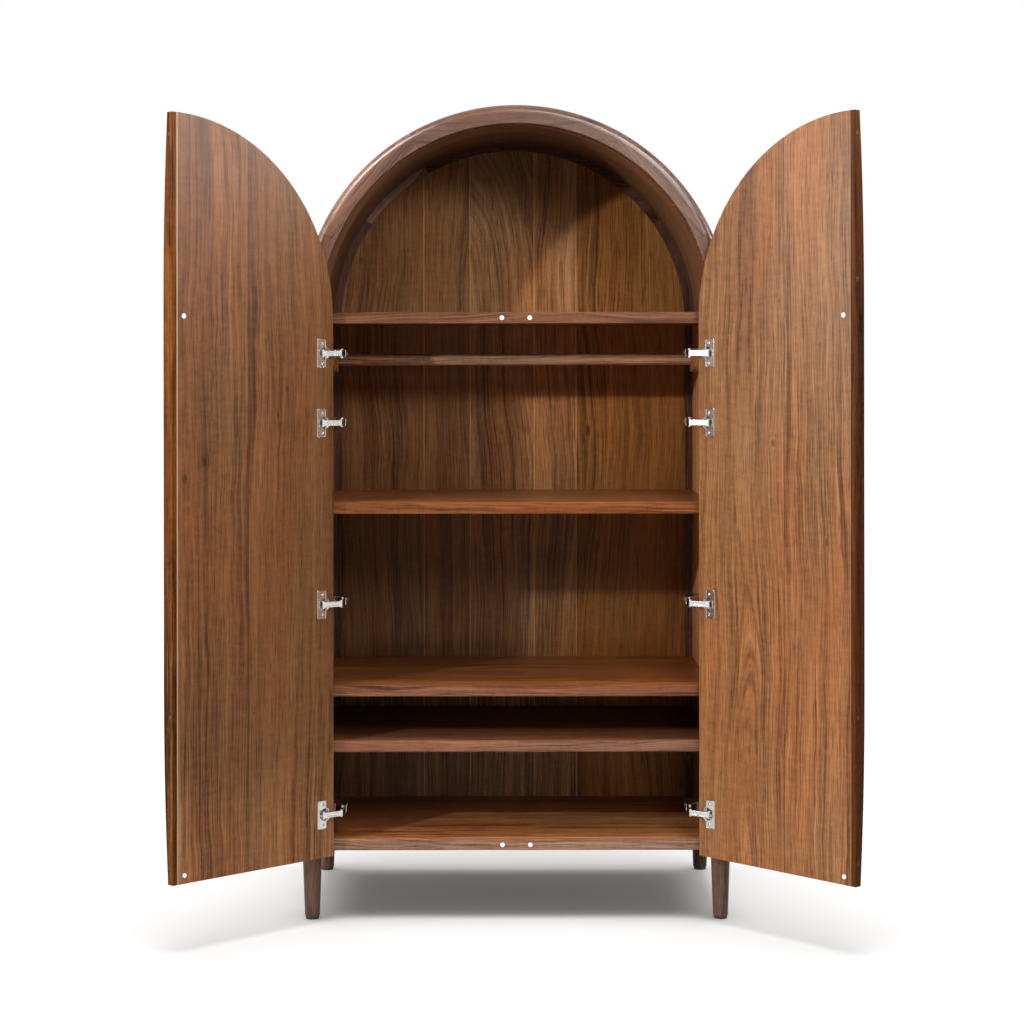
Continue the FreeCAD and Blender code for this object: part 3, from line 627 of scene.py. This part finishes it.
# Shelves and the bottom panel: front edges with their edge band's tone and a painted sheen
wooden(
    ["shelf_upper"], "shelf_a", grain_along_x, (0.264, 0.104, 0.037), 41.0,
    front_tone=(0.72, 0.64, 0.6), **BOARD_LOOKS,
)
wooden(
    ["shelf_middle"], "shelf_b", grain_along_x, (0.225, 0.08, 0.025), 43.0,
    front_tone=(0.73, 0.81, 1.2), **BOARD_LOOKS,
)
wooden(
    ["shelf_lower"], "shelf_c", grain_along_x, (0.17, 0.07, 0.035), 45.0,
    front_tone=(0.97, 1.05, 1.2), **BOARD_LOOKS,
)
wooden(["top_shelf"], "shelf_top", grain_along_x, (0.15, 0.062, 0.03), 47.0, **BOARD_LOOKS)
# Bottom panel: painted shade on its underside
wooden(
    ["bottom_panel"], "shelf_bottom", grain_along_x, (0.38, 0.155, 0.055), 49.0,
    dark_below=True, front_tone=(0.55, 0.76, 1.4), **BOARD_LOOKS,
)
wooden(["cleat_post_left", "cleat_post_right"], "cleat_wood", grain_along_z, CLEAT_COLOUR, 51.0)
wooden(["cleat_top", "cleat_shoulder_right"], "cleat_arc", grain_along_x, CLEAT_COLOUR, 53.0, level=0.05)
# Painted light: the left shoulder cleat gets a paler copy of the cleat wood, for the front light that falls on
# it
wooden(["cleat_shoulder_left"], "cleat_arc_l", shoulder_grain, (0.19, 0.105, 0.075), 54.0)
wooden(["hanging_rod"], "rod_wood", grain_along_x, (0.37, 0.205, 0.125), 55.0, **BOARD_LOOKS)
wooden(["rod_sockets"], "socket_wood", grain_along_z, (0.3, 0.13, 0.05), 57.0)
wooden(
    ["leg_front_left", "leg_front_right", "leg_rear_left", "leg_rear_right"], "leg_wood", grain_along_z,
    (0.1, 0.061, 0.045), 59.0, **BOARD_LOOKS,
)
wooden(["rear_core", "side_battens"], "core_softwood", grain_along_z, (0.56, 0.37, 0.19), 61.0)

hinge_steel = metal("nickel", (0.66, 0.645, 0.62), 0.14, 3.0)
screw_steel = metal("nickel_small", (0.6, 0.585, 0.56), 0.18, 7.0)
dress(
    hinge_steel, "hinge_arms", "hinge_plates", "hinge_cups_left", "hinge_cups_right", "inner_links_left",
    "inner_links_right", "outer_links_left", "outer_links_right",
)
dress(
    screw_steel, "arm_pins", "knee_pins_left", "knee_pins_right", "cup_pins_left", "cup_pins_right",
    "cup_screws_left", "cup_screws_right", "plate_screws", "shelf_pins", "back_screws", "leg_bolts",
)
dress(
    metal("catch_face", (0.9, 0.89, 0.87), 0.4, 9.0, metallic=0.5),
    "catch_plates_left", "catch_plates_right", "catch_magnets",
)
dress(plastic("black_nylon", (0.02, 0.02, 0.02), 2.0), "leg_glides")


def plain_mesh(name, points, faces, material):
    mesh = bpy.data.meshes.new(name)
    mesh.from_pydata(points, [], faces)
    mesh.materials.append(material)
    piece = bpy.data.objects.new(name, mesh)
    bpy.context.scene.collection.objects.link(piece)
    return piece


# Directions: up, and out of the inside face of each open door
UP = Vector((0.0, 0.0, 1.0))
LEFT_FACE = Vector((math.sin(LEFT_OPEN), math.cos(LEFT_OPEN), 0.0))
RIGHT_FACE = Vector((-math.sin(RIGHT_OPEN), math.cos(RIGHT_OPEN), 0.0))
SAME_POINT = 1e-6

# Screw heads: a dome on a short skirt, with a cross recess, each turned by its own place
HEAD_RADIUS = 0.0037
HEAD_DOME = 0.0011
HEAD_SKIRT = 0.0004
HEAD_RINGS = 10
HEAD_PARTS = 40
RECESS_REACH = 0.0027
RECESS_HALF_WIDTH = 0.0005
RECESS_EDGE = 0.0003
RECESS_DEPTH = 0.0006
TURN_PER_HEIGHT = 7.0
TURN_PER_WIDTH = 3.0

# Rolled rims of the hinge flanges: a bead round each flange, which is the part near its two ends
BEAD_HALF_WIDTH = 0.001
BEAD_HALF_HEIGHT = 0.0006
BEAD_INSET = 0.0007
BEAD_CORNER = 0.0036
BEAD_SIDES = 8
CORNER_STEPS = 6
FLANGE_END = 0.004


# The points of each separate solid of a node
def islands(name):
    solid = bmesh.new()
    solid.from_mesh(nodes[name].data)
    bmesh.ops.remove_doubles(solid, verts=solid.verts, dist=SAME_POINT)
    seen, groups = set(), []
    for start in solid.verts:
        if start in seen:
            continue
        seen.add(start)
        group, waiting = [], [start]
        while waiting:
            vertex = waiting.pop()
            group.append(vertex.co.copy())
            for edge in vertex.link_edges:
                other = edge.other_vert(vertex)
                if other not in seen:
                    seen.add(other)
                    waiting.append(other)
        groups.append(group)
    solid.free()
    return groups


def head_height(u, v, reach):
    height = HEAD_DOME * (1.0 - (reach / HEAD_RADIUS) ** 2)
    inside = max(0.0, 1.0 - reach / RECESS_REACH)
    if min(abs(u), abs(v)) < RECESS_HALF_WIDTH and inside > 0.0:
        height -= RECESS_EDGE + RECESS_DEPTH * inside
    return height


def screw_heads(name, node, body, outward):
    points, faces = [], []
    for group in islands(node):
        lowest = [min(point[i] for point in group) for i in range(3)]
        highest = [max(point[i] for point in group) for i in range(3)]
        centre = (Vector(lowest) + Vector(highest)) / 2
        normal = outward(centre)
        centre += normal * (max(point.dot(normal) for point in group) - centre.dot(normal))
        aside = UP.cross(normal)
        turn = TURN_PER_HEIGHT * centre.z + TURN_PER_WIDTH * centre.x
        base = len(points)
        points.append(centre + normal * head_height(0.0, 0.0, 0.0))
        for ring in range(1, HEAD_RINGS + 1):
            reach = HEAD_RADIUS * ring / HEAD_RINGS
            for part in range(HEAD_PARTS):
                angle = 2.0 * math.pi * part / HEAD_PARTS
                u, v = reach * math.cos(angle), reach * math.sin(angle)
                across = u * math.cos(turn) - v * math.sin(turn)
                along = u * math.sin(turn) + v * math.cos(turn)
                points.append(centre + aside * across + UP * along + normal * head_height(u, v, reach))
        skirt = len(points)
        rim = skirt - HEAD_PARTS
        points.extend([points[rim + part] - normal * HEAD_SKIRT for part in range(HEAD_PARTS)])
        pairs = [(part, (part + 1) % HEAD_PARTS) for part in range(HEAD_PARTS)]
        for part, after in pairs:
            faces.append((base, base + 1 + part, base + 1 + after))
            for low in range(base + 1, rim, HEAD_PARTS):
                high = low + HEAD_PARTS
                faces.append((low + part, high + part, high + after, low + after))
        for part, after in pairs:
            faces.append((rim + part, skirt + part, skirt + after, rim + after))
        faces.append(tuple(skirt + part for part in reversed(range(HEAD_PARTS))))
    piece = plain_mesh(name, points, faces, screw_steel)
    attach(piece, body)


def flange_rims(name, node, body, normal, along):
    points, faces = [], []
    for group in islands(node):
        heights = [point.z for point in group]
        middle = (min(heights) + max(heights)) / 2
        half_height = (max(heights) - min(heights)) / 2 - BEAD_INSET
        ends = [point for point in group if abs(point.z - middle) > half_height - FLANGE_END]
        reach = [point.dot(along) for point in ends]
        level = max(point.dot(normal) for point in ends)
        centre = (min(reach) + max(reach)) / 2
        half_width = (max(reach) - min(reach)) / 2 - BEAD_INSET
        path = []
        for quarter, (u_side, z_side) in enumerate(CORNERS):
            corner_u = centre + u_side * (half_width - BEAD_CORNER)
            corner_z = middle + z_side * (half_height - BEAD_CORNER)
            for step in range(CORNER_STEPS + 1):
                angle = QUARTER_TURN * (quarter + step / CORNER_STEPS)
                u = corner_u + BEAD_CORNER * math.cos(angle)
                z = corner_z + BEAD_CORNER * math.sin(angle)
                path.append((u, z, angle))
        base = len(points)
        for u, z, angle in path:
            for side in range(BEAD_SIDES):
                roll = 2.0 * math.pi * side / BEAD_SIDES
                out = BEAD_HALF_WIDTH * math.cos(roll)
                points.append(along * (u + out * math.cos(angle)) + UP * (z + out * math.sin(angle))
                              + normal * (level + BEAD_HALF_HEIGHT * math.sin(roll)))
        for index in range(len(path)):
            here = base + index * BEAD_SIDES
            there = base + (index + 1) % len(path) * BEAD_SIDES
            for side in range(BEAD_SIDES):
                beside = (side + 1) % BEAD_SIDES
                faces.append((here + side, there + side, there + beside, here + beside))
    piece = plain_mesh(name, points, faces, hinge_steel)
    for face in piece.data.polygons:
        face.use_smooth = True
    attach(piece, body)


def inward(centre):
    return Vector((-math.copysign(1.0, centre.x), 0.0, 0.0))


screw_heads("cup_screw_heads_left", "cup_screws_left", "left_door", lambda centre: LEFT_FACE)
screw_heads("cup_screw_heads_right", "cup_screws_right", "right_door", lambda centre: RIGHT_FACE)
screw_heads("plate_screw_heads", "plate_screws", "carcass", inward)
screw_heads("back_screw_heads", "back_screws", "carcass", lambda centre: Vector((0.0, 1.0, 0.0)))
flange_rims("flange_rims_left", "hinge_cups_left", "left_door", LEFT_FACE, UP.cross(LEFT_FACE))
flange_rims("flange_rims_right", "hinge_cups_right", "right_door", RIGHT_FACE, UP.cross(RIGHT_FACE))

# Floor: white where it is seen, and darker away from the object for the light that it sends back
FLOOR_HALF = 40.0
FLOOR_GLOW = 0.085
FLOOR_NEAR = 1.0
FLOOR_FAR = 3.4
FLOOR_TONES = (0.9, 0.2)


def floor_surface():
    coat = surface("pale_floor")
    white = coat.wired("ShaderNodeBsdfDiffuse", WHITE)[0]
    glow = coat.wired("ShaderNodeEmission", WHITE, FLOOR_GLOW)[0]
    seen = coat.wired("ShaderNodeAddShader", white, glow)[0]
    x, y, _ = coat.split(coat.place())
    level = coat.between(coat.length(x, y), FLOOR_NEAR, FLOOR_FAR, *FLOOR_TONES)
    unseen = coat.wired("ShaderNodeBsdfDiffuse", coat.combine(level, level, level))[0]
    choice = coat.wired("ShaderNodeMixShader", coat.seen_directly(), unseen, seen)[0]
    coat.wired("ShaderNodeOutputMaterial", choice)
    return coat.owner


floor_corners = [(x_side * FLOOR_HALF, y_side * FLOOR_HALF, 0.0) for x_side, y_side in CORNERS]
floor = plain_mesh("floor", floor_corners, [(0, 1, 2, 3)], floor_surface())

# World: white where it is seen, and faint as a light
WORLD_LIGHT = 0.15
WORLD_SEEN = 1.0

world = bpy.data.worlds.new("studio")
bpy.context.scene.world = world
studio = Surface(world)
faint = studio.wired("ShaderNodeBackground", WHITE, WORLD_LIGHT)[0]
bright = studio.wired("ShaderNodeBackground", WHITE, WORLD_SEEN)[0]
choice = studio.wired("ShaderNodeMixShader", studio.seen_directly(), faint, bright)[0]
studio.wired("ShaderNodeOutputWorld", choice)

SUN_HEIGHT = 5.0


def light(name, kind, power, place, angles):
    data = bpy.data.lights.new(name, kind)
    data.energy = power
    piece = bpy.data.objects.new(name, data)
    bpy.context.scene.collection.objects.link(piece)
    piece.location = place
    piece.rotation_euler = angles
    return piece


# A soft lamp stands at its place and looks at its target
def lamp(name, place, target, size, power, spread=180.0, diffuse=True, glossy=True):
    x, y, z = (end - start for start, end in zip(place, target))
    angles = (QUARTER_TURN + math.atan2(z, math.hypot(x, y)), 0.0, math.atan2(-x, y))
    piece = light(name, "AREA", power, place, angles)
    piece.data.shape = "RECTANGLE"
    piece.data.size, piece.data.size_y = size
    piece.data.spread = math.radians(spread)
    piece.visible_camera = False
    piece.visible_diffuse = diffuse
    piece.visible_glossy = glossy
    return piece


# A sky is a wide light from above, tilted from the front
def sky(name, power, width, tilt):
    piece = light(name, "SUN", power, (0.0, 0.0, SUN_HEIGHT), (math.radians(tilt), 0.0, 0.0))
    piece.data.angle = math.radians(width)
    piece.visible_glossy = False
    return piece


def linked(name, pieces, state="INCLUDE"):
    group = bpy.data.collections.new(name)
    for piece in pieces:
        group.objects.link(piece)
    for entry in group.collection_objects:
        entry.light_linking.link_state = state
    return group


lamps = [
    lamp("key", (-3.1, -3.65, 2.6), (0.0, -0.1, 1.2), (0.15, 0.15), 112.0),
    lamp("left_soft", (-3.6, -1.7, 2.3), (0.7, -0.5, 1.2), (1.4, 1.6), 100.0),
    lamp("side_right", (3.9, -1.4, 3.0), (-0.75, -0.6, 2.1), (1.0, 1.0), 7.0, spread=36.0),
    lamp("low_front", (0.2, -3.6, 0.35), (0.0, 0.3, 0.33), (1.2, 0.3), 0.45, spread=20.0, glossy=False),
    lamp("arch_front", (1.7, -4.4, 3.1), (-0.02, 0.3, 1.8), (0.8, 0.6), 1.05, spread=24.0, glossy=False),
    lamp("front_fill", (1.5, -5.0, 3.2), (0.0, -0.3, 1.2), (1.6, 1.2), 62.0),
    lamp("high_front", (0.8, -3.6, 4.6), (0.0, -0.3, 1.2), (1.6, 1.2), 60.0),
]
overhead = sky("overhead", 2.9, 30.0, 5.0)
floor_wide = sky("floor_wide", 1.3, 60.0, 3.0)
floor_narrow = sky("floor_narrow", 1.5, 26.0, 6.0)

# The studio lamps leave the floor to two skies of its own, so it keeps only the soft shadow right below.
# In the wide one only the bottom panel and the legs cast a shadow.
LOW_PARTS = ("bottom_panel", "leg_front_left", "leg_front_right", "leg_rear_left", "leg_rear_right")
all_but_floor = linked("all_but_floor", [floor], "EXCLUDE")
only_floor = linked("only_floor", [floor])
for piece in (*lamps, overhead):
    piece.light_linking.receiver_collection = all_but_floor
for piece in (floor_wide, floor_narrow):
    piece.light_linking.receiver_collection = only_floor
floor_wide.light_linking.blocker_collection = linked("low_parts", [nodes[name] for name in LOW_PARTS])

# Two soft panels that only shine on the varnish of the arched rim
ARCHED_RIM = ("rim_top", "rim_shoulder_left", "rim_shoulder_right", "rim_haunches")
rim_shine = linked("rim_shine", [nodes[name] for name in ARCHED_RIM])
for piece in (
    lamp("shine_left", (-2.58, -2.8, 4.6), (-0.42, -0.33, 1.98), (2.0, 1.8), 230.0, diffuse=False),
    lamp("shine_right", (2.34, -3.4, 4.27), (0.42, -0.33, 1.98), (1.9, 1.7), 135.0, diffuse=False),
):
    piece.light_linking.receiver_collection = rim_shine

# Camera
CAMERA_ASIDE = -0.085
CAMERA_DISTANCE = 6.1
CAMERA_HEIGHT = 1.489
CAMERA_ROLL = math.radians(0.07)

lens = bpy.data.cameras.new("camera")
lens.lens = 81.84
lens.sensor_width = 36.0
lens.shift_x = 0.0278
lens.shift_y = -0.15495
lens.clip_end = 200.0
camera = bpy.data.objects.new("camera", lens)
bpy.context.scene.collection.objects.link(camera)
camera.location = (CAMERA_ASIDE, -HALF_DEPTH - CAMERA_DISTANCE, CAMERA_HEIGHT)
camera.rotation_euler = (QUARTER_TURN, CAMERA_ROLL, 0.0)
bpy.context.scene.camera = camera
bpy.context.scene.view_settings.view_transform = "Standard"
